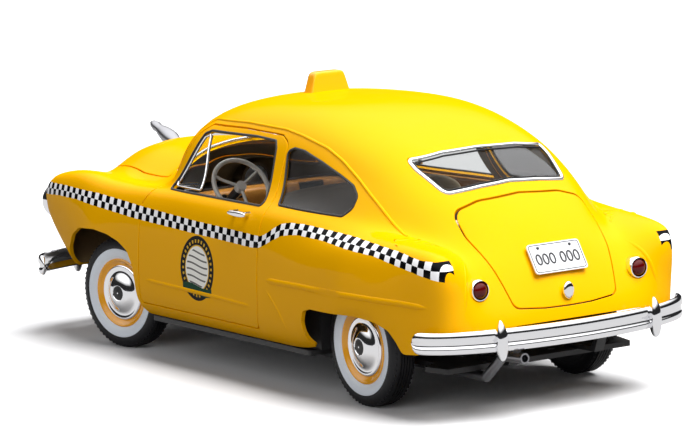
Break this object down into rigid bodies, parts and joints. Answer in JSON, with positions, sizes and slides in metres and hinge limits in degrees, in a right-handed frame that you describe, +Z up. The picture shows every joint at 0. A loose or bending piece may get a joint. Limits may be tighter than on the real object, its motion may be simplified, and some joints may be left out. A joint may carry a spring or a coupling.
{
  "type": "diecast model car",
  "caption": "Small fastback sedan model in taxi livery with opening doors, hood and trunk, steered front wheels and a roof sign.",
  "frame": {"origin": "centre of the footprint, on the ground the tyres stand on", "axes": "+Z up, the nose points along -Y, the car's left side is +X"},
  "size_m": [0.0974, 0.247, 0.0885],
  "materials": {
    "yellow_paint": "gloss",
    "rim_paint": "gloss",
    "sign_plastic": "gloss",
    "bright_plate": "polished",
    "clear_glass": "clear",
    "red_lens": "gloss",
    "black_metal": "satin",
    "plain_steel": "satin",
    "trim_plastic": "matte",
    "dark_plastic": "matte",
    "seat_plastic": "matte",
    "ivory_plastic": "gloss",
    "plate_white": "satin",
    "tyre_rubber": "matte"
  },
  "bodies": {
    "body": {"body_shell": "yellow_paint", "window_trims": "bright_plate", "windscreen_glass": "clear_glass", "rear_window_glass": "clear_glass", "quarter_glass": "clear_glass", "headlamp_bezels": "bright_plate", "headlamp_lenses": "clear_glass", "tail_lamp_bezels": "bright_plate", "tail_lamp_lenses": "red_lens", "grille": "bright_plate", "rear_bumper": "bright_plate", "front_bumper": "bright_plate", "bumper_guards": "bright_plate", "bumper_irons": "black_metal", "front_axle_beam": "black_metal", "rear_axle_housing": "black_metal", "chassis_plate": "black_metal", "base_screws": "plain_steel", "exhaust_pipe": "plain_steel", "interior_tub": "trim_plastic", "front_seat": "seat_plastic", "rear_seat": "seat_plastic", "dashboard": "trim_plastic", "steering_column": "trim_plastic", "rear_view_mirror": "trim_plastic", "visor_brackets": "black_metal", "roof_sign": "sign_plastic", "engine_block": "plain_steel", "air_cleaner": "black_metal", "radiator": "black_metal"},
    "left_door": {"door_left": "yellow_paint", "door_card_left": "trim_plastic", "door_handle_left": "bright_plate"},
    "right_door": {"door_right": "yellow_paint", "door_card_right": "trim_plastic", "door_handle_right": "bright_plate"},
    "left_vent": {"vent_frame_left": "bright_plate", "vent_glass_left": "clear_glass"},
    "right_vent": {"vent_frame_right": "bright_plate", "vent_glass_right": "clear_glass"},
    "hood": {"hood_panel": "yellow_paint", "hood_ornament": "bright_plate"},
    "trunk": {"trunk_lid": "yellow_paint", "trunk_handle": "bright_plate", "number_plate": "plate_white"},
    "steering": {"steering_wheel": "ivory_plastic"},
    "left_visor": {"sun_visor_left": "dark_plastic"},
    "right_visor": {"sun_visor_right": "dark_plastic"},
    "left_knuckle": {"knuckle_left": "black_metal"},
    "right_knuckle": {"knuckle_right": "black_metal"},
    "left_front_wheel": {"tyre_front_left": "tyre_rubber", "rim_front_left": "rim_paint", "hub_cap_front_left": "bright_plate"},
    "right_front_wheel": {"tyre_front_right": "tyre_rubber", "rim_front_right": "rim_paint", "hub_cap_front_right": "bright_plate"},
    "rear_wheels": {"rear_axle_shaft": "plain_steel", "rear_tyres": "tyre_rubber", "rear_rims": "rim_paint", "rear_hub_caps": "bright_plate"}
  },
  "joints": [
    {"name": "left_door_hinge", "type": "hinge", "parent": "body", "child": "left_door", "pos_m": [0.0479, -0.04405, 0.032], "axis": [0, 0, -1], "range_deg": [0, 60]},
    {"name": "right_door_hinge", "type": "hinge", "parent": "body", "child": "right_door", "pos_m": [-0.0479, -0.04405, 0.032], "axis": [0, 0, 1], "range_deg": [0, 60]},
    {"name": "left_vent_pivot", "type": "hinge", "parent": "left_door", "child": "left_vent", "pos_m": [0.0402, -0.0181, 0.0545], "axis": [0.392, 0.0795, -0.9165], "range_deg": [0, 45]},
    {"name": "right_vent_pivot", "type": "hinge", "parent": "right_door", "child": "right_vent", "pos_m": [-0.0402, -0.0181, 0.0545], "axis": [0.392, -0.0795, 0.9165], "range_deg": [0, 45]},
    {"name": "hood_hinge", "type": "hinge", "parent": "body", "child": "hood", "pos_m": [0, -0.0546, 0.0635], "axis": [-1, 0, 0], "range_deg": [0, 55]},
    {"name": "trunk_hinge", "type": "hinge", "parent": "body", "child": "trunk", "pos_m": [0, 0.0932, 0.0603], "axis": [1, 0, 0], "range_deg": [0, 60]},
    {"name": "steer_left", "type": "hinge", "parent": "body", "child": "left_knuckle", "pos_m": [0.0325, -0.072, 0.0175], "axis": [0, 0, 1], "range_deg": [-37.5, 12.5]},
    {"name": "steer_right", "type": "hinge", "parent": "body", "child": "right_knuckle", "pos_m": [-0.0325, -0.072, 0.0175], "axis": [0, 0, 1], "range_deg": [-37.5, 12.5]},
    {"name": "steering_turn", "type": "hinge", "parent": "body", "child": "steering", "pos_m": [0.017, -0.0305, 0.0526], "axis": [0, 0.8211, 0.5708], "range_deg": [-75, 25]},
    {"name": "left_wheel_spin", "type": "hinge", "parent": "left_knuckle", "child": "left_front_wheel", "pos_m": [0.0325, -0.072, 0.0175], "axis": [0.9763, 0.2164, 0], "continuous": true},
    {"name": "right_wheel_spin", "type": "hinge", "parent": "right_knuckle", "child": "right_front_wheel", "pos_m": [-0.0325, -0.072, 0.0175], "axis": [0.9763, 0.2164, 0], "continuous": true},
    {"name": "rear_axle_spin", "type": "hinge", "parent": "body", "child": "rear_wheels", "pos_m": [0, 0.069, 0.0175], "axis": [1, 0, 0], "continuous": true},
    {"name": "left_visor_hinge", "type": "hinge", "parent": "body", "child": "left_visor", "pos_m": [0.015, -0.024, 0.07305], "axis": [-1, 0, 0], "range_deg": [0, 95]},
    {"name": "right_visor_hinge", "type": "hinge", "parent": "body", "child": "right_visor", "pos_m": [-0.015, -0.024, 0.07305], "axis": [-1, 0, 0], "range_deg": [0, 95]}
  ],
  "couplings": [
    {"joint": "steer_right", "follows": "steer_left", "ratio": 1},
    {"joint": "steering_turn", "follows": "steer_left", "ratio": 2}
  ]
}
